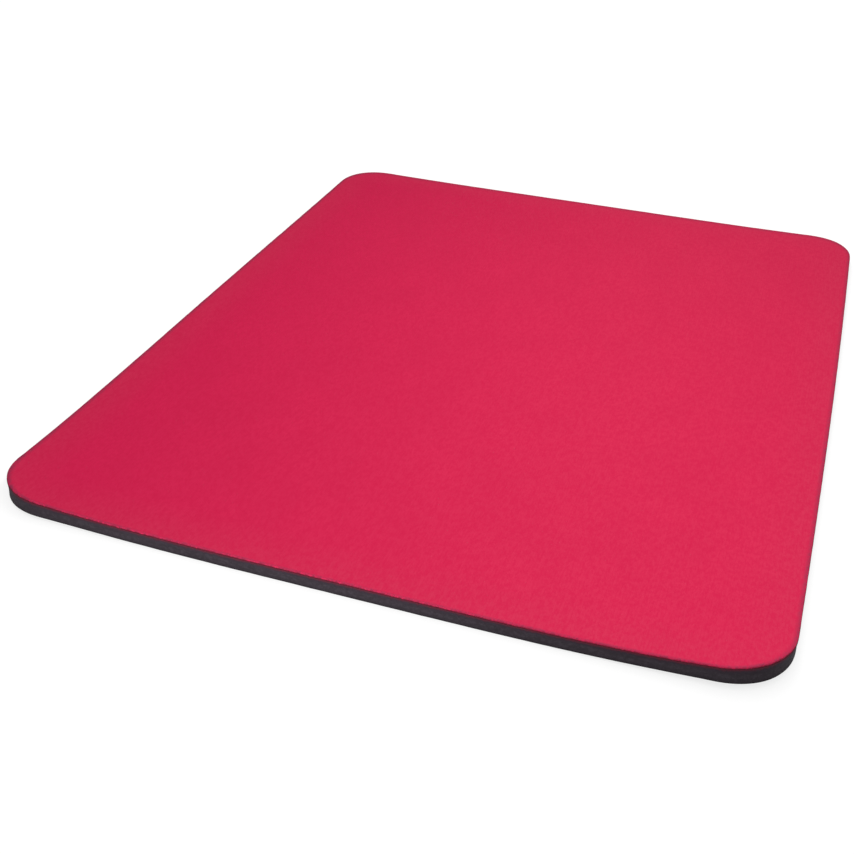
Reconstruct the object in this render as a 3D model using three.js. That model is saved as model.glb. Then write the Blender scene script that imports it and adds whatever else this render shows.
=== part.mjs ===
// Mouse pad: a knitted cloth face bonded to a closed-cell foam base, die-cut with round corners.
// Millimetres, +Z up. The origin is on the table under the middle of the pad.
// The short sides of the pad run along X and the long sides along Y.

import * as THREE from 'three';
import { toCreasedNormals } from 'three/addons/utils/BufferGeometryUtils.js';

// Outline, cut through every layer in one stroke
const padWidth = 200;
const padLength = 250;
const cornerRadius = 16;
const cornerSteps = 12;

// Foam base: its cut side draws in at the waist, and its foot is a little rounded
const foamThickness = 3.5;
const foamWaistDraw = 0.15;
const foamWaistSteps = 6;
const foamFootRound = 0.3;

// Adhesive film between the foam and the cloth
const filmThickness = 0.1;

// Face cloth: its edge has shrunk back from the cut, and the blade has pressed it round
const clothThickness = 0.4;
const clothSetback = 0.25;
const clothEdgeRound = 0.3;

// Rounded edges of the foam and the cloth, held to a share of the layer that carries them
const edgeSteps = 4;
const edgeRoundLimitShare = 0.9;

// Faces that meet at less than this angle are shaded as one smooth surface
const creaseAngle = Math.PI / 6;

// Colour and surface of each layer
const foamFinish = { color: 0x3f3c42, roughness: 0.95, metalness: 0 };
const filmFinish = { color: 0x1c1b1e, roughness: 0.6, metalness: 0 };
const clothFinish = { color: 0xd72d53, roughness: 0.9, metalness: 0 };

// The four corners as sides of X and Y, anticlockwise seen from above, each an arc of points
const cornerSides = [[1, 1], [-1, 1], [-1, -1], [1, -1]];
const pointsPerCorner = cornerSteps + 1;

// Points of the outline drawn in by an inset
function outlinePoints(inset) {
  const cornerX = padWidth / 2 - cornerRadius;
  const cornerY = padLength / 2 - cornerRadius;
  const radius = cornerRadius - inset;
  const points = [];
  cornerSides.forEach(([sideX, sideY], quarter) => {
    for (let step = 0; step <= cornerSteps; step += 1) {
      const angle = (quarter + step / cornerSteps) * Math.PI / 2;
      const x = sideX * cornerX + radius * Math.cos(angle);
      const y = sideY * cornerY + radius * Math.sin(angle);
      points.push([x, y]);
    }
  });
  return points;
}

// Triangles of a flat face inside one ring: a fan in each corner, then a fan across their ends
function faceTriangles() {
  const triangles = [];
  const ends = [];
  for (let corner = 0; corner < cornerSides.length; corner += 1) {
    const first = corner * pointsPerCorner;
    for (let step = 1; step < cornerSteps; step += 1) {
      triangles.push([first, first + step, first + step + 1]);
    }
    ends.push(first, first + cornerSteps);
  }
  for (let i = 2; i < ends.length; i += 1) {
    triangles.push([ends[0], ends[i - 1], ends[i]]);
  }
  return triangles;
}

// Closed solid through rings of inset and height, listed from the underside to the top
function solidThroughRings(rings) {
  const positions = [];
  for (const { inset, height } of rings) {
    for (const [x, y] of outlinePoints(inset)) {
      positions.push(x, y, height);
    }
  }

  const count = cornerSides.length * pointsPerCorner;
  const indices = [];
  for (let ring = 1; ring < rings.length; ring += 1) {
    const low = (ring - 1) * count;
    const high = ring * count;
    for (let i = 0; i < count; i += 1) {
      const next = (i + 1) % count;
      indices.push(low + i, low + next, high + next);
      indices.push(low + i, high + next, high + i);
    }
  }

  const top = (rings.length - 1) * count;
  for (const [a, b, c] of faceTriangles()) {
    indices.push(a, c, b);
    indices.push(top + a, top + b, top + c);
  }

  const geometry = new THREE.BufferGeometry();
  geometry.setAttribute('position', new THREE.Float32BufferAttribute(positions, 3));
  geometry.setIndex(indices);
  return toCreasedNormals(geometry, creaseAngle);
}

// Foam rings: a rounded foot, then the drawn-in side up to the bond with the film
function foamRings() {
  const round = Math.min(foamFootRound, foamThickness * edgeRoundLimitShare);
  const sideHeight = foamThickness - round;
  const rings = [];
  for (let step = 0; step <= edgeSteps; step += 1) {
    const angle = step / edgeSteps * Math.PI / 2;
    rings.push({ inset: round * (1 - Math.sin(angle)), height: round * (1 - Math.cos(angle)) });
  }
  for (let step = 1; step <= foamWaistSteps; step += 1) {
    const rise = step / foamWaistSteps;
    const inset = foamWaistDraw * Math.sin(rise * Math.PI);
    rings.push({ inset, height: round + sideHeight * rise });
  }
  return rings;
}

// Film rings: cut in line with the edge of the cloth that it holds
function filmRings() {
  return [
    { inset: clothSetback, height: 0 },
    { inset: clothSetback, height: filmThickness },
  ];
}

// Cloth rings: a short upright edge, then a quarter round up to the flat face
function clothRings() {
  const round = Math.min(clothEdgeRound, clothThickness * edgeRoundLimitShare);
  const rings = [{ inset: clothSetback, height: 0 }];
  for (let step = 0; step <= edgeSteps; step += 1) {
    const angle = step / edgeSteps * Math.PI / 2;
    const inset = clothSetback + round * (1 - Math.cos(angle));
    rings.push({ inset, height: clothThickness - round * (1 - Math.sin(angle)) });
  }
  return rings;
}

// One layer of the pad, lying at its height in the stack
function layer(name, rings, base, finish) {
  const mesh = new THREE.Mesh(solidThroughRings(rings), new THREE.MeshStandardMaterial(finish));
  mesh.name = name;
  mesh.position.z = base;
  return mesh;
}

const mousePad = new THREE.Group();
mousePad.add(
  layer('foam_base', foamRings(), 0, foamFinish),
  layer('adhesive_film', filmRings(), foamThickness, filmFinish),
  layer('face_cloth', clothRings(), foamThickness + filmThickness, clothFinish),
);

export default mousePad;
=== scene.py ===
# Mouse pad: crimson knitted cloth bonded to a dark closed-cell foam base, on a plain white table.
# Everything is in metres, in the frame of the CAD part.

import math

import bpy
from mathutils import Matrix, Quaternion, Vector, noise


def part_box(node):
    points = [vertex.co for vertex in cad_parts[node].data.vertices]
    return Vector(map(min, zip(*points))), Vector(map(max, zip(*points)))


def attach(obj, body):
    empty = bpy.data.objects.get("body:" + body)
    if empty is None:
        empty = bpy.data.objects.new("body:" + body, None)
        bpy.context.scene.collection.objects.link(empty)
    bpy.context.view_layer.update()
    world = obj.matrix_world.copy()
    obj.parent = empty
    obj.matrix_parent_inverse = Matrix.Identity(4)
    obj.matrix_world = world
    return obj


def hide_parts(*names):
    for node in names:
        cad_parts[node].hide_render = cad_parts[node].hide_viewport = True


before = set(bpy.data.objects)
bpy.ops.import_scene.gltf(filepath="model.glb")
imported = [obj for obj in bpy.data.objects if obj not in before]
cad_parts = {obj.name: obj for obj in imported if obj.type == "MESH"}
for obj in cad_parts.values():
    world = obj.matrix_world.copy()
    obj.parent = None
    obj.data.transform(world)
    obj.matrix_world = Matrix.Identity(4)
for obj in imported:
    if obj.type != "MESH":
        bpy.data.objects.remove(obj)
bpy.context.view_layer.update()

MM = 0.001

# Sizes of the pad, read from the frame
_, FOAM_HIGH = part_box("foam_base")
CLOTH_LOW, CLOTH_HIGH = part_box("face_cloth")
HALF_WIDTH = FOAM_HIGH.x
HALF_LENGTH = FOAM_HIGH.y
FOAM_TOP = FOAM_HIGH.z
CLOTH_BASE = CLOTH_LOW.z
CLOTH_TOP = CLOTH_HIGH.z
CLOTH_SETBACK = HALF_WIDTH - CLOTH_HIGH.x

# Mesh density: spacing of the middle grid, steps round each corner, and steps down each cut edge
GRID_STEP = 2.0 * MM
ARC_STEPS = 20
CLOTH_ROUND_STEPS = 6
TOP_ROUND_STEPS = 3
SIDE_STEPS = 14
FOOT_ROUND_STEPS = 5

# Rings of a flat face: gaps to the rounds of its edge, then steps that grow up to the grid's spacing
ROUND_GAP = 0.10 * MM
FOOT_GAP = 0.15 * MM
FIRST_STEP = 0.15 * MM
STEP_GROWTH = 1.35
LAST_STEP_SHARE = 0.6

# Points this near to the widest part of the pad count as on its straight side
SIDE_TOLERANCE = 0.01 * MM

# The blade presses the cut edge down: the layers drop towards it over a narrow rim
RIM_WIDTH = 1.3 * MM
RIM_DROP = 0.08 * MM

# The four corners curl up a little, each by its own amount. The cloth pulls them, the foot lags behind
FRONT_LEFT_LIFT = 2.92 * MM
FRONT_RIGHT_LIFT = 4.22 * MM
BACK_LIFT = 0.92 * MM
LIFT_POWER = 4
FOOT_LAG = 2.37 * MM
LAG_POWER = 10

# The sides are slightly convex, their ends drawn in by this much
SIDE_BOW = 1.07 * MM
END_BOW = 0.33 * MM

# The corner turns are a little squarer than a circle, whose power is 2
CORNER_POWER = 2.2

# Cut side of the foam: a shallow waist, a rounded foot and a sharp upper edge
WAIST_DRAW = 0.09 * MM
FOOT_ROUND = 0.15 * MM
TOP_ROUND = 0.10 * MM
CUT_WAVE = 0.05 * MM
CUT_WAVE_LENGTH = 4.0 * MM
CUT_WAVE_SEED = 11.0

# Cloth edge: spread back over the foam's rim, rounded over, with a cut line that wanders a little
EDGE_SPREAD = 0.18 * MM
EDGE_ROUND = 0.24 * MM
CLOTH_WAVE = 0.07 * MM
CLOTH_WAVE_LENGTH = 1.6 * MM
CLOTH_WAVE_SEED = 7.0

# Rim of the cloth painted darker as shade, by its own amount on each side: its strongest share of the
# shade colour, and how far in it reaches.
# It starts at a share of its strength on the edge itself, and peaks at a share of its reach.
RIM_SHADE_RIGHT = (0.62, 1.3 * MM)
RIM_SHADE_LEFT = (0.80, 1.8 * MM)
RIM_SHADE_BACK = (0.45, 3.3 * MM)
RIM_SHADE_FRONT = (0.65, 0.8 * MM)
RIM_START_SHARE = 0.6
RIM_PEAK_SHARE = 0.3

# Slow unevenness of the cloth face
FACE_WAVE = 0.03 * MM
FACE_WAVE_LENGTH = 24 * MM
FACE_WAVE_SEED = 3.0


def corner_radius():
    """Corner radius of the outline: how far short of the end the straight side of the foam stops."""
    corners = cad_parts["foam_base"].data.vertices
    reach = max(v.co.y for v in corners if v.co.x > HALF_WIDTH - SIDE_TOLERANCE)
    return HALF_LENGTH - reach


RADIUS = corner_radius()


def bowed(x, y):
    """Place of a point of the straight outline once the sides are convex."""
    u, v = x / HALF_WIDTH, y / HALF_LENGTH
    return x - SIDE_BOW * u * v * v, y - END_BOW * v * u * u


def corner_turn(angle):
    """Point at an angle on the turn of a corner, for a radius of 1."""
    x, y = math.cos(angle), math.sin(angle)
    reach = (abs(x)**CORNER_POWER + abs(y)**CORNER_POWER) ** (-1 / CORNER_POWER)
    return x * reach, y * reach


def corner_curl(x, y, height):
    """Height that the curl of the nearest corner adds at a point, less at the foot of the foam."""
    front_lift = FRONT_LEFT_LIFT if x < 0 else FRONT_RIGHT_LIFT
    lift = front_lift if y < 0 else BACK_LIFT
    share = abs(x / HALF_WIDTH) * abs(y / HALF_LENGTH)
    lifted = lift * share**LIFT_POWER
    lag = min(FOOT_LAG * share**LAG_POWER, lifted)
    rise = min(height / FOAM_TOP, 1.0)
    return lifted - lag * (1 - rise)


def rim_drop(inset):
    """How far the layers are pressed down at a distance in from the cut edge."""
    return RIM_DROP * max(0.0, 1.0 - inset / RIM_WIDTH) ** 2


def painted_rim_shade(dx, dy, inset):
    """Share of painted rim shade at a distance in from the edge, blended between two sides round each
    corner.
    """
    weights = [max(part, 0.0) ** 2 for part in (dx, -dx, dy, -dy)]
    sides = (RIM_SHADE_RIGHT, RIM_SHADE_LEFT, RIM_SHADE_BACK, RIM_SHADE_FRONT)
    strongest = sum(weight * share for weight, (share, _) in zip(weights, sides))
    reach = sum(weight * distance for weight, (_, distance) in zip(weights, sides))
    along = inset / reach
    rising = RIM_START_SHARE + (1.0 - RIM_START_SHARE) * along / RIM_PEAK_SHARE
    falling = (1.0 - along) / (1.0 - RIM_PEAK_SHARE)
    return strongest * max(0.0, min(rising, falling))


def wander(x, y, z, length, seed):
    """Smooth noise from -1 to 1 that changes over about the given length."""
    return noise.noise(Vector((x / length, y / length, z / length + seed)))


# Outline of the pad as a middle grid with a border of rings round it

class PadGrid:
    """Places on the middle grid, and the outward direction at each place along its border."""

    def __init__(self):
        self.half_x = HALF_WIDTH - RADIUS
        self.half_y = HALF_LENGTH - RADIUS
        self.cells_x = round(2 * self.half_x / GRID_STEP)
        self.cells_y = round(2 * self.half_y / GRID_STEP)
        self.border = self.border_places()

    def place(self, i, j):
        x = self.half_x * (2 * i / self.cells_x - 1)
        y = self.half_y * (2 * j / self.cells_y - 1)
        return x, y

    def index(self, i, j):
        return i * (self.cells_y + 1) + j

    def border_places(self):
        """(grid index, x, y, outward direction) anticlockwise along the border, arcs at its corners."""
        last_x, last_y = self.cells_x, self.cells_y
        sides = [
            [(last_x, j) for j in range(last_y + 1)],
            [(i, last_y) for i in range(last_x, -1, -1)],
            [(0, j) for j in range(last_y, -1, -1)],
            [(i, 0) for i in range(last_x + 1)],
        ]
        border = []
        for quarter, side in enumerate(sides):
            places = [(cell, 0) for cell in side] + [(side[-1], step) for step in range(1, ARC_STEPS)]
            for cell, step in places:
                outward = corner_turn((quarter + step / ARC_STEPS) * math.pi / 2)
                border.append((self.index(*cell), *self.place(*cell), *outward))
        return border


GRID = PadGrid()


def layer_mesh(name, rings, top, base, shape):
    """Closed mesh of one layer.

    rings lists (inset from the cut edge, height), from the face over the edge to the underside.
    top and base are the heights of the flat faces. shape gives the final place of a point from its
    x, y, height and inset and its outward direction. Each point keeps three values for the materials:
    its inset and its depth below the top, both in millimetres, and its share of painted rim shade.
    """
    border = GRID.border
    flat = [GRID.place(i, j) for i in range(GRID.cells_x + 1) for j in range(GRID.cells_y + 1)]
    points = [shape(x, y, top, RADIUS, 0.0, 0.0) for x, y in flat]
    insets = [middle_inset(x, y) for x, y in flat]
    depths = [0.0] * len(flat)
    shades = [0.0] * len(flat)
    for inset, height in rings:
        reach = RADIUS - inset
        insets += [inset / MM] * len(border)
        depths += [(top - height) / MM] * len(border)
        shades += [painted_rim_shade(dx, dy, inset) for _, _, _, dx, dy in border]
        for _, x, y, dx, dy in border:
            points.append(shape(x + dx * reach, y + dy * reach, height, inset, dx, dy))
    points += [shape(x, y, base, RADIUS, 0.0, 0.0) for x, y in flat]
    insets += insets[:len(flat)]
    depths += [(top - base) / MM] * len(flat)
    shades += shades[:len(flat)]

    under = len(points) - len(flat)
    faces = []
    for i in range(GRID.cells_x):
        for j in range(GRID.cells_y):
            a, b = GRID.index(i, j), GRID.index(i + 1, j)
            faces.append((a, b, b + 1, a + 1))
            faces.append((under + a, under + a + 1, under + b + 1, under + b))

    def ring_vertex(ring, place):
        """Index of a point of a ring. Before the first and after the last come the grid's own points."""
        if ring < 0:
            return border[place][0]
        if ring == len(rings):
            return under + border[place][0]
        return len(flat) + ring * len(border) + place

    for ring in range(-1, len(rings)):
        for place in range(len(border)):
            after = (place + 1) % len(border)
            corners = [
                ring_vertex(ring, place), ring_vertex(ring + 1, place),
                ring_vertex(ring + 1, after), ring_vertex(ring, after),
            ]
            # Round a corner the grid gives one point for the whole arc, so these faces are triangles
            faces.append(tuple(dict.fromkeys(corners)))

    mesh = bpy.data.meshes.new(name)
    mesh.from_pydata(points, [], faces)
    mesh.polygons.foreach_set("use_smooth", [True] * len(mesh.polygons))
    for label, values in (("inset", insets), ("depth", depths), ("painted_rim_shade", shades)):
        mesh.attributes.new(label, "FLOAT", "POINT").data.foreach_set("value", values)
    piece = bpy.data.objects.new(name, mesh)
    bpy.context.scene.collection.objects.link(piece)
    return piece


def middle_inset(x, y):
    """Distance from a place on the middle grid to the cut edge, in millimetres."""
    return min(HALF_WIDTH - abs(x), HALF_LENGTH - abs(y)) / MM


def inward_insets(first):
    """Insets of the rings of a flat face, close together at the rim and wide apart further in."""
    insets = []
    inset, step = first, FIRST_STEP
    while inset < RADIUS - GRID_STEP * LAST_STEP_SHARE:
        insets.append(inset)
        inset += step
        step = min(step * STEP_GROWTH, GRID_STEP)
    return insets


def quarter_round(inset, height, radius, steps, start):
    """Points of a quarter circle round (inset, height), from the angle start, outwards and down."""
    points = []
    for step in range(steps + 1):
        angle = start - step / steps * math.pi / 2
        points.append((inset - radius * math.cos(angle), height + radius * math.sin(angle)))
    return points


def build_cloth():
    """Face cloth: flat, pressed down and rounded over at its cut edge."""
    cut = CLOTH_SETBACK - EDGE_SPREAD
    first = cut + EDGE_ROUND
    rings = [(inset, CLOTH_TOP) for inset in reversed(inward_insets(first + ROUND_GAP))]
    rings += quarter_round(first, CLOTH_TOP - EDGE_ROUND, EDGE_ROUND, CLOTH_ROUND_STEPS, math.pi / 2)
    rings += [(inset, CLOTH_BASE) for inset in inward_insets(cut)]

    def shape(x, y, height, inset, dx, dy):
        lift = corner_curl(x, y, height) - rim_drop(inset)
        if height > CLOTH_BASE:
            lift += FACE_WAVE * wander(x, y, 0.0, FACE_WAVE_LENGTH, FACE_WAVE_SEED)
        edge = max(0.0, 1.0 - (inset - cut) / RIM_WIDTH)
        shift = CLOTH_WAVE * edge * wander(x, y, height, CLOTH_WAVE_LENGTH, CLOTH_WAVE_SEED)
        return *bowed(x + dx * shift, y + dy * shift), height + lift

    return layer_mesh("cloth_sheet", rings, CLOTH_TOP, CLOTH_BASE, shape)


def build_film():
    """Adhesive film: follows the pressed rim, just inside the edge of the cloth."""
    first = CLOTH_SETBACK + CLOTH_WAVE
    rings = [(inset, CLOTH_BASE) for inset in reversed(inward_insets(first))]
    rings += [(inset, FOAM_TOP) for inset in inward_insets(first)]

    def shape(x, y, height, inset, dx, dy):
        return *bowed(x, y), height + corner_curl(x, y, height) - rim_drop(inset)

    return layer_mesh("film_layer", rings, CLOTH_BASE, FOAM_TOP, shape)


def build_foam():
    """Foam base: pressed rim, then the cut side with its waist, down to the rounded foot."""
    side_top, side_foot = FOAM_TOP - TOP_ROUND, FOOT_ROUND
    rings = [(inset, FOAM_TOP) for inset in reversed(inward_insets(TOP_ROUND + ROUND_GAP))]
    rings += quarter_round(TOP_ROUND, side_top, TOP_ROUND, TOP_ROUND_STEPS, math.pi / 2)
    for step in range(1, SIDE_STEPS):
        share = step / SIDE_STEPS
        waist = WAIST_DRAW * math.sin(share * math.pi)
        rings.append((waist, side_top + (side_foot - side_top) * share))
    rings += quarter_round(FOOT_ROUND, side_foot, FOOT_ROUND, FOOT_ROUND_STEPS, 0.0)
    rings += [(inset, 0.0) for inset in inward_insets(FOOT_ROUND + FOOT_GAP)]

    def shape(x, y, height, inset, dx, dy):
        drop = rim_drop(inset) * height / FOAM_TOP
        edge = max(0.0, 1.0 - inset / RIM_WIDTH)
        shift = CUT_WAVE * edge * wander(x, y, height, CUT_WAVE_LENGTH, CUT_WAVE_SEED)
        return *bowed(x + dx * shift, y + dy * shift), height + corner_curl(x, y, height) - drop

    return layer_mesh("foam_slab", rings, FOAM_TOP, 0.0, shape)


# Materials

class Nodes:
    """Adds nodes to a node tree and links them. Most methods return the socket of their result."""

    def __init__(self, tree):
        self.tree = tree

    def node(self, kind, inputs=(), **settings):
        made = self.tree.nodes.new(kind)
        for key, value in settings.items():
            setattr(made, key, value)
        self.connect(made, dict(inputs))
        return made

    def connect(self, target, inputs):
        for key, value in inputs.items():
            if isinstance(value, bpy.types.NodeSocket):
                self.tree.links.new(value, target.inputs[key])
            else:
                target.inputs[key].default_value = value

    def math(self, operation, a, b=0.0, c=0.0):
        made = self.node("ShaderNodeMath", {0: a, 1: b, 2: c}, operation=operation)
        return made.outputs[0]

    def position(self, scale=(1.0, 1.0, 1.0)):
        """Place on the object in units of the given lengths."""
        place = self.node("ShaderNodeTexCoord").outputs["Object"]
        mapping = self.node("ShaderNodeMapping", {"Vector": place, "Scale": [1 / s for s in scale]})
        return mapping.outputs[0]

    def noise(self, scale, detail=2.0, roughness=0.5):
        """Noise from 0 to 1 with features about as long as scale, three lengths in metres."""
        inputs = {"Vector": self.position(scale), "Scale": 1.0, "Detail": detail, "Roughness": roughness}
        return self.node("ShaderNodeTexNoise", inputs).outputs["Fac"]

    def remap(self, value, span, results):
        """Carries the two ends of a span over to two results, and all between them evenly."""
        inputs = {
            "Value": value, "From Min": span[0], "From Max": span[1],
            "To Min": results[0], "To Max": results[1],
        }
        return self.node("ShaderNodeMapRange", inputs).outputs[0]

    def mix(self, share, first, second):
        """Mixes two colours, on the numbered sockets that the node keeps for colours."""
        made = self.node("ShaderNodeMix", data_type="RGBA")
        self.connect(made, {0: share, 6: first, 7: second})
        return made.outputs[2]

    def tint(self, colour, other, value, span, shares):
        """Mixes in another colour, by a share that follows the value over its span."""
        return self.mix(self.remap(value, span, shares), colour, other)

    def attribute(self, name):
        return self.node("ShaderNodeAttribute", attribute_name=name).outputs["Fac"]

    def bump(self, height, distance, strength, normal=None):
        inputs = {"Height": height, "Distance": distance, "Strength": strength}
        if normal is not None:
            inputs["Normal"] = normal
        return self.node("ShaderNodeBump", inputs).outputs[0]


class Shader(Nodes):
    """A node material under construction, ending in one Principled shader."""

    def __init__(self, name):
        self.material = bpy.data.materials.new(name)
        self.material.use_nodes = True
        super().__init__(self.material.node_tree)
        self.surface = self.tree.nodes["Principled BSDF"]


# Colours of the cloth: at the left and the right of the pad, the right one paler as painted sheen, in
# the gaps of the knit, in the dark blotches, greyer along the border, as painted shade at the cut rim,
# and down the cut side at the left and the right, its own dark colour with painted shade
CLOTH_LEFT = (0.740, 0.0198, 0.0945, 1.0)
# The right colour is paler and greyer: painted sheen where the key lamp lights the cloth most
CLOTH_RIGHT_PAINTED_SHEEN = (0.734, 0.0318, 0.0970, 1.0)
CLOTH_GAP = (0.660, 0.0115, 0.0700, 1.0)
CLOTH_BLOTCH = (0.485, 0.0130, 0.0600, 1.0)
CLOTH_BLOOM = (0.660, 0.0440, 0.1000, 1.0)
# Painted shade along the cloth's rim
PAINTED_RIM_SHADE_COLOUR = (0.310, 0.0320, 0.0800, 1.0)
# The cut side: its own dark colour with painted shade, deeper at the left where the fill lamp lights it
CUT_SIDE_SHADED_LEFT = (0.185, 0.0130, 0.0340, 1.0)
CUT_SIDE_SHADED_RIGHT = (0.280, 0.0180, 0.0480, 1.0)

# Sizes and slant of the stitches, sizes of the grain and the blotches, and how deep the relief is
WALE_PITCH = 0.78 * MM
COURSE_PITCH = 0.60 * MM
STITCH_SLANT = 1.4
LEG_ARC = 1.6 * math.pi
GRAIN_SIZE = (0.9 * MM, 1.65 * MM, 0.9 * MM)
BLOTCH_SIZE = (16 * MM, 20 * MM, 16 * MM)
KNIT_DEPTH = 0.035 * MM
GRAIN_DEPTH = 0.05 * MM

# Most of the grain's values lie in this span
GRAIN_SPAN = (0.38, 0.62)

# Each pair below is a span of values, and what the two ends of the span become: for a tint, the
# share of a colour that is mixed in. Depth and inset are in millimetres.
STITCH_LEVEL = ((-1.0, 1.0), (0.35, 1.0))
PAINTED_SHEEN_RIGHT_TINT = ((-80 * MM, 40 * MM), (0.0, 1.0))
BLOTCH_TINT = ((0.35, 0.65), (0.12, 0.0))
GREY_BORDER_TINT = ((0.0, 14.0), (0.55, 0.0))
KNIT_TINT = ((0.0, 1.0), (0.33, 0.0))
GRAIN_TINT = (GRAIN_SPAN, (0.58, 0.0))
RIM_GRAIN = (GRAIN_SPAN, (0.6, 1.4))
CUT_SHADE_RIGHT_TINT = ((0.0, 80 * MM), (0.0, 1.0))
CUT_GRAIN = (GRAIN_SPAN, (0.35, 1.8))
CUT_TINT = ((0.0, 0.24), (0.0, 1.0))
CLOTH_ROUGHNESS = ((0.3, 0.7), (0.58, 0.68))


def knit_pattern(shader):
    """Columns of V stitches along Y: 1 on the yarn, down to 0 in the gaps between the columns."""
    place = shader.position((WALE_PITCH, COURSE_PITCH, 1.0))
    split = shader.node("ShaderNodeSeparateXYZ", {0: place})
    across = shader.math("PINGPONG", split.outputs[0], 0.5)
    slant = shader.math("MULTIPLY_ADD", across, STITCH_SLANT, split.outputs[1])
    stitch = shader.math("SINE", shader.math("MULTIPLY", slant, 2 * math.pi))
    leg = shader.math("SINE", shader.math("MULTIPLY", across, LEG_ARC))
    return shader.math("MULTIPLY", leg, shader.remap(stitch, *STITCH_LEVEL))


def cloth_material():
    """Fine jersey knit, painted paler to the right as sheen, with grain, slow blotches, a greyer border,
    and cut edges with painted shade.
    """
    shader = Shader("crimson_knit")
    knit = knit_pattern(shader)
    grain = shader.noise(GRAIN_SIZE, detail=2.0, roughness=0.8)
    blotch = shader.noise(BLOTCH_SIZE, detail=3.0, roughness=0.6)
    inset = shader.attribute("inset")
    sideways = shader.node("ShaderNodeSeparateXYZ", {0: shader.position()}).outputs[0]

    # Painted sheen: paler towards the right, under the key lamp
    colour = shader.tint(CLOTH_LEFT, CLOTH_RIGHT_PAINTED_SHEEN, sideways, *PAINTED_SHEEN_RIGHT_TINT)
    colour = shader.tint(colour, CLOTH_BLOTCH, blotch, *BLOTCH_TINT)
    # Greyer towards the border
    colour = shader.tint(colour, CLOTH_BLOOM, inset, *GREY_BORDER_TINT)
    colour = shader.tint(colour, CLOTH_GAP, knit, *KNIT_TINT)
    colour = shader.tint(colour, CLOTH_GAP, grain, *GRAIN_TINT)

    # Painted shade along the rim of the cloth, strongest on the left, made ragged by the grain
    rim = shader.math("MULTIPLY", shader.attribute("painted_rim_shade"), shader.remap(grain, *RIM_GRAIN))
    colour = shader.mix(rim, colour, PAINTED_RIM_SHADE_COLOUR)
    # Cut side of the cloth: its own dark colour and painted shade, deeper to the left, ragged by the
    # grain
    shaded_cut_side = shader.tint(CUT_SIDE_SHADED_LEFT, CUT_SIDE_SHADED_RIGHT, sideways, *CUT_SHADE_RIGHT_TINT)
    ragged_depth = shader.math("MULTIPLY", shader.attribute("depth"), shader.remap(grain, *CUT_GRAIN))
    colour = shader.tint(colour, shaded_cut_side, ragged_depth, *CUT_TINT)

    knitted = shader.bump(knit, KNIT_DEPTH, strength=1.0)
    shader.connect(shader.surface, {
        "Base Color": colour,
        "Roughness": shader.remap(grain, *CLOTH_ROUGHNESS),
        "Normal": shader.bump(grain, GRAIN_DEPTH, strength=1.0, normal=knitted),
        "Specular IOR Level": 0.02,
        "Sheen Weight": 0.008,
        "Sheen Roughness": 0.4,
        "Sheen Tint": (1.0, 0.72, 0.78, 1.0),
    })
    return shader.material


# Colours of the foam: on its cut side, in its pores and streaks, darker at its foot as painted shade, on
# its pale specks, darker on its upper part as painted shade under the cloth, and where crimson from the
# cloth lies as fuzz along its top edge
FOAM_COLOUR = (0.0229, 0.0169, 0.0224, 1.0)
FOAM_DARK = (0.0111, 0.0081, 0.0106, 1.0)
FOAM_PALE = (0.0370, 0.0296, 0.0376, 1.0)
# Painted shade under the cloth's edge, with a crimson tinge
FOAM_PAINTED_SHADE = (0.0210, 0.0106, 0.0200, 1.0)
FOAM_FUZZ = (0.1150, 0.0095, 0.0210, 1.0)

# Sizes of the pores, the specks, the blade's streaks and the slow bloom, and how deep two of them are
PORE_SIZE = (0.28 * MM,) * 3
SPECK_SIZE = (0.9 * MM,) * 3
STREAK_SIZE = (14 * MM, 14 * MM, 0.7 * MM)
BLOOM_SIZE = (30 * MM, 30 * MM, 12 * MM)
PORE_DEPTH = 0.06 * MM
STREAK_DEPTH = 0.1 * MM

# Spans and results, as for the cloth
PORE_TINT = ((0.0, 0.45), (0.55, 0.0))
SPECK_TINT = ((0.42, 0.62), (0.0, 1.0))
STREAK_TINT = ((0.45, 0.7), (0.0, 0.45))
BLOOM_TINT = ((0.45, 0.7), (0.0, 0.35))
FOOT_PAINTED_SHADE_TINT = ((2.3, 3.3), (0.0, 0.7))
UNDER_CLOTH_SHADE_TINT = ((0.0, 1.6), (0.85, 0.0))
FUZZ_GRAIN = (GRAIN_SPAN, (0.7, 1.3))
FUZZ_TINT = ((0.0, 0.6), (0.75, 0.0))
FOAM_ROUGHNESS = ((0.3, 0.7), (0.86, 0.97))


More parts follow.
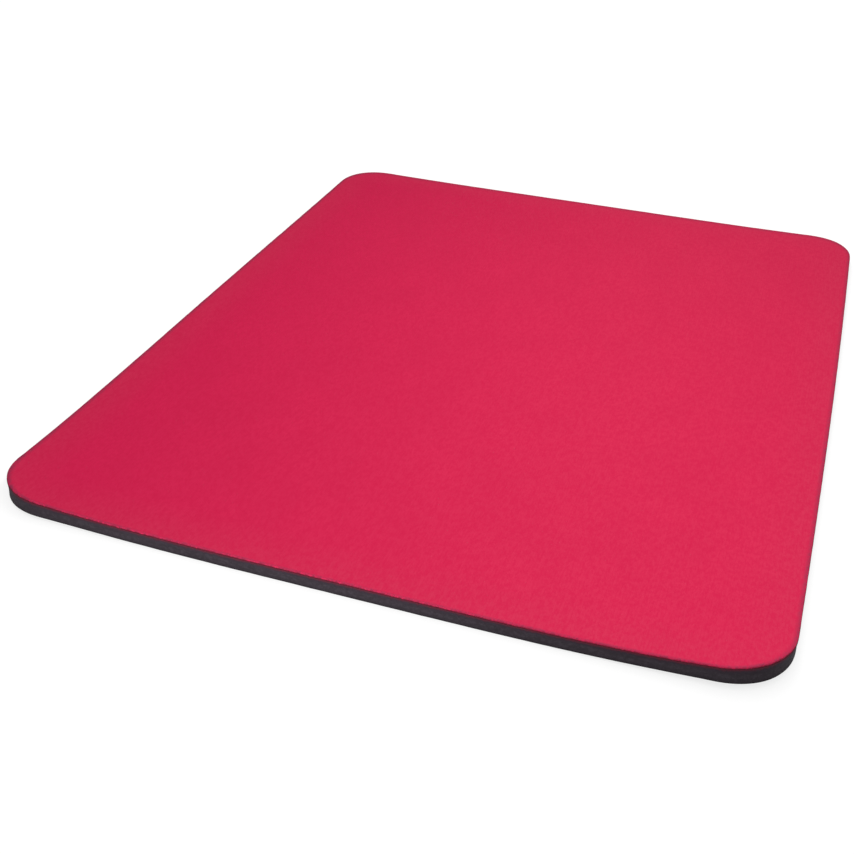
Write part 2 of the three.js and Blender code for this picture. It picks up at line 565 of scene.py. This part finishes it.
def foam_material():
    """Closed-cell sponge: pores, pale specks and blade streaks, painted shade at its foot and under the
    cloth, and a crimson top edge.
    """
    shader = Shader("dark_foam")
    cells = {"Vector": shader.position(PORE_SIZE), "Scale": 1.0}
    pores = shader.node("ShaderNodeTexVoronoi", cells).outputs["Distance"]
    specks = shader.noise(SPECK_SIZE, detail=2.0, roughness=0.8)
    streak = shader.noise(STREAK_SIZE, detail=3.0, roughness=0.55)
    bloom = shader.noise(BLOOM_SIZE)
    depth = shader.attribute("depth")

    colour = shader.tint(FOAM_COLOUR, FOAM_DARK, pores, *PORE_TINT)
    colour = shader.tint(colour, FOAM_PALE, specks, *SPECK_TINT)
    colour = shader.tint(colour, FOAM_DARK, streak, *STREAK_TINT)
    colour = shader.tint(colour, FOAM_PALE, bloom, *BLOOM_TINT)
    # Painted shade: darker towards the foot, by the table
    colour = shader.tint(colour, FOAM_DARK, depth, *FOOT_PAINTED_SHADE_TINT)
    # Painted shade on the upper part of the foam, under the cloth's edge
    colour = shader.tint(colour, FOAM_PAINTED_SHADE, depth, *UNDER_CLOTH_SHADE_TINT)
    ragged_depth = shader.math("MULTIPLY", depth, shader.remap(specks, *FUZZ_GRAIN))
    colour = shader.tint(colour, FOAM_FUZZ, ragged_depth, *FUZZ_TINT)

    pitted = shader.bump(pores, PORE_DEPTH, strength=0.5)
    shader.connect(shader.surface, {
        "Base Color": colour,
        "Roughness": shader.remap(specks, *FOAM_ROUGHNESS),
        "Normal": shader.bump(streak, STREAK_DEPTH, strength=0.3, normal=pitted),
        "Specular IOR Level": 0.2,
    })
    return shader.material


FILM_COLOUR = (0.012, 0.011, 0.013, 1.0)
FILM_PALE = (0.020, 0.018, 0.021, 1.0)
FILM_CLOUD_SIZE = (2.5 * MM,) * 3
FILM_CLOUD_DEPTH = 0.02 * MM
FILM_ROUGHNESS = ((0.3, 0.7), (0.5, 0.65))


def film_material():
    """Dark bonding film with a faint cloudy mottle."""
    shader = Shader("bonding_film")
    cloud = shader.noise(FILM_CLOUD_SIZE, detail=3.0)
    shader.connect(shader.surface, {
        "Base Color": shader.mix(cloud, FILM_COLOUR, FILM_PALE),
        "Roughness": shader.remap(cloud, *FILM_ROUGHNESS),
        "Normal": shader.bump(cloud, FILM_CLOUD_DEPTH, strength=0.3),
        "Specular IOR Level": 0.3,
    })
    return shader.material


def dress(piece, material, node):
    """Gives a piece its material and its body, and hides the CAD part that it stands for."""
    piece.data.materials.append(material)
    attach(piece, "root")
    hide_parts(node)


# Camera, from the lines of the pad's edges in the photograph

CAMERA_PLACE = Vector((85.43, -327.90, 184.85)) * MM
CAMERA_AIM = Vector((-7.59, -48.22, 0.0)) * MM
CAMERA_ROLL = math.radians(1.514)
SENSOR_WIDTH = 36.0
FOCAL_LENGTH_PIXELS = 1229.7
IMAGE_WIDTH_PIXELS = 854
NEAR_LIMIT = 10 * MM


def add_camera():
    data = bpy.data.cameras.new("camera")
    data.sensor_width = SENSOR_WIDTH
    data.lens = FOCAL_LENGTH_PIXELS / IMAGE_WIDTH_PIXELS * SENSOR_WIDTH
    data.clip_start = NEAR_LIMIT
    camera = bpy.data.objects.new("camera", data)
    camera.rotation_mode = "QUATERNION"
    camera.location = CAMERA_PLACE
    look = (CAMERA_AIM - CAMERA_PLACE).to_track_quat("-Z", "Y")
    camera.rotation_quaternion = look @ Quaternion((0.0, 0.0, 1.0), CAMERA_ROLL)
    bpy.context.scene.collection.objects.link(camera)
    bpy.context.scene.camera = camera


# Light and ground

# The table: half its side, its paint as it lights the pad and as mirrors show it, and, to the
# camera, its own glow and what the light adds to that where no shadow falls
FLOOR_HALF = 3.0
FLOOR_PAINT = 0.80
FLOOR_MIRRORED = 1.1
FLOOR_GLOW = 0.78
FLOOR_SHADE = 0.27

# The sky: its level as light, and as it is seen
SKY_LIGHT = 0.47
SKY_SEEN = 1.0

# Key: a long strip lamp above the right of the pad, facing straight down and turned a little
KEY_PLACE = Vector((0.0603, -0.0740, 0.2363))
KEY_AIM = Vector((KEY_PLACE.x, KEY_PLACE.y, 0.0))
KEY_SIZE = (0.08, 0.50)
KEY_TURN = math.radians(12.6)
KEY_SPOTS = 5
KEY_POWER = 0.506

# Fill: a low, narrow lamp that lights the front of the foam
FILL_PLACE = Vector((-0.030, -0.180, 0.0055))
FILL_AIM = Vector((-0.030, -0.125, 0.002))
FILL_SIZE = (0.13, 0.008)
FILL_POWER = 0.049


def open_floor_light(shader):
    """Light on the empty table: the sky's, and the key lamp's, taken as equal spots along it.

    The lamp and the table face each other, so a spot's light falls with the distance to the power 4.
    """
    along = Vector((-math.sin(KEY_TURN), math.cos(KEY_TURN), 0.0)) * KEY_SIZE[1]
    strength = KEY_POWER * (KEY_PLACE.z / math.pi) ** 2 / KEY_SPOTS
    light = SKY_LIGHT
    for spot in range(KEY_SPOTS):
        place = KEY_PLACE + along * ((spot + 0.5) / KEY_SPOTS - 0.5)
        ends = {0: shader.position(), 1: place}
        distance = shader.node("ShaderNodeVectorMath", ends, operation="DISTANCE").outputs["Value"]
        falloff = shader.math("POWER", distance, -4.0)
        light = shader.math("MULTIPLY_ADD", falloff, strength, light)
    return light


def add_floor():
    """Plain table: pale matt paint to the pad, and to the camera a white ground with its shadow."""
    mesh = bpy.data.meshes.new("floor")
    corners = [(x * FLOOR_HALF, y * FLOOR_HALF, 0.0) for x, y in ((-1, -1), (1, -1), (1, 1), (-1, 1))]
    mesh.from_pydata(corners, [], [(0, 1, 2, 3)])
    floor = bpy.data.objects.new("floor", mesh)
    bpy.context.scene.collection.objects.link(floor)

    shader = Shader("white_table")
    shader.tree.nodes.remove(shader.surface)
    path = shader.node("ShaderNodeLightPath")
    mirrored = shader.math("MAXIMUM", path.outputs["Is Glossy Ray"], path.outputs["Is Transmission Ray"])
    paint = shader.remap(mirrored, (0.0, 1.0), (FLOOR_PAINT, FLOOR_MIRRORED))
    seen = path.outputs["Is Camera Ray"]
    shade = shader.math("DIVIDE", FLOOR_SHADE, open_floor_light(shader))
    matt = shader.node("ShaderNodeBsdfDiffuse", {"Color": shader.mix(seen, paint, shade)})
    glow = shader.node("ShaderNodeEmission", {"Strength": shader.math("MULTIPLY", seen, FLOOR_GLOW)})
    surface = shader.node("ShaderNodeAddShader", {0: matt.outputs[0], 1: glow.outputs[0]})
    shader.connect(shader.tree.nodes["Material Output"], {"Surface": surface.outputs[0]})
    mesh.materials.append(shader.material)


def add_lamp(name, place, aim, size, power, turn=0.0):
    data = bpy.data.lights.new(name, "AREA")
    data.shape = "RECTANGLE"
    data.size, data.size_y = size
    data.energy = power
    lamp = bpy.data.objects.new(name, data)
    lamp.location = place
    lamp.visible_camera = False
    lamp.rotation_mode = "QUATERNION"
    look = (aim - place).to_track_quat("-Z", "Y")
    lamp.rotation_quaternion = Quaternion((0.0, 0.0, 1.0), turn) @ look
    bpy.context.scene.collection.objects.link(lamp)


def add_sky():
    """White sky that lights the scene at a plain level, and looks white where it is seen."""
    world = bpy.data.worlds.new("sky")
    world.use_nodes = True
    bpy.context.scene.world = world
    nodes = Nodes(world.node_tree)
    path = nodes.node("ShaderNodeLightPath")
    seen = nodes.math("MAXIMUM", path.outputs["Is Camera Ray"], path.outputs["Is Transmission Ray"])
    seen = nodes.math("MAXIMUM", seen, path.outputs["Is Glossy Ray"])
    strength = nodes.remap(seen, (0.0, 1.0), (SKY_LIGHT, SKY_SEEN))
    background = world.node_tree.nodes["Background"]
    nodes.connect(background, {"Color": (1.0, 1.0, 1.0, 1.0), "Strength": strength})


def main():
    bpy.context.scene.view_settings.view_transform = "Standard"
    add_camera()

    cloth = build_cloth()
    film = build_film()
    foam = build_foam()
    dress(cloth, cloth_material(), "face_cloth")
    dress(film, film_material(), "adhesive_film")
    dress(foam, foam_material(), "foam_base")

    add_floor()
    add_sky()
    add_lamp("key", KEY_PLACE, KEY_AIM, KEY_SIZE, KEY_POWER, KEY_TURN)
    add_lamp("fill", FILL_PLACE, FILL_AIM, FILL_SIZE, FILL_POWER)


main()
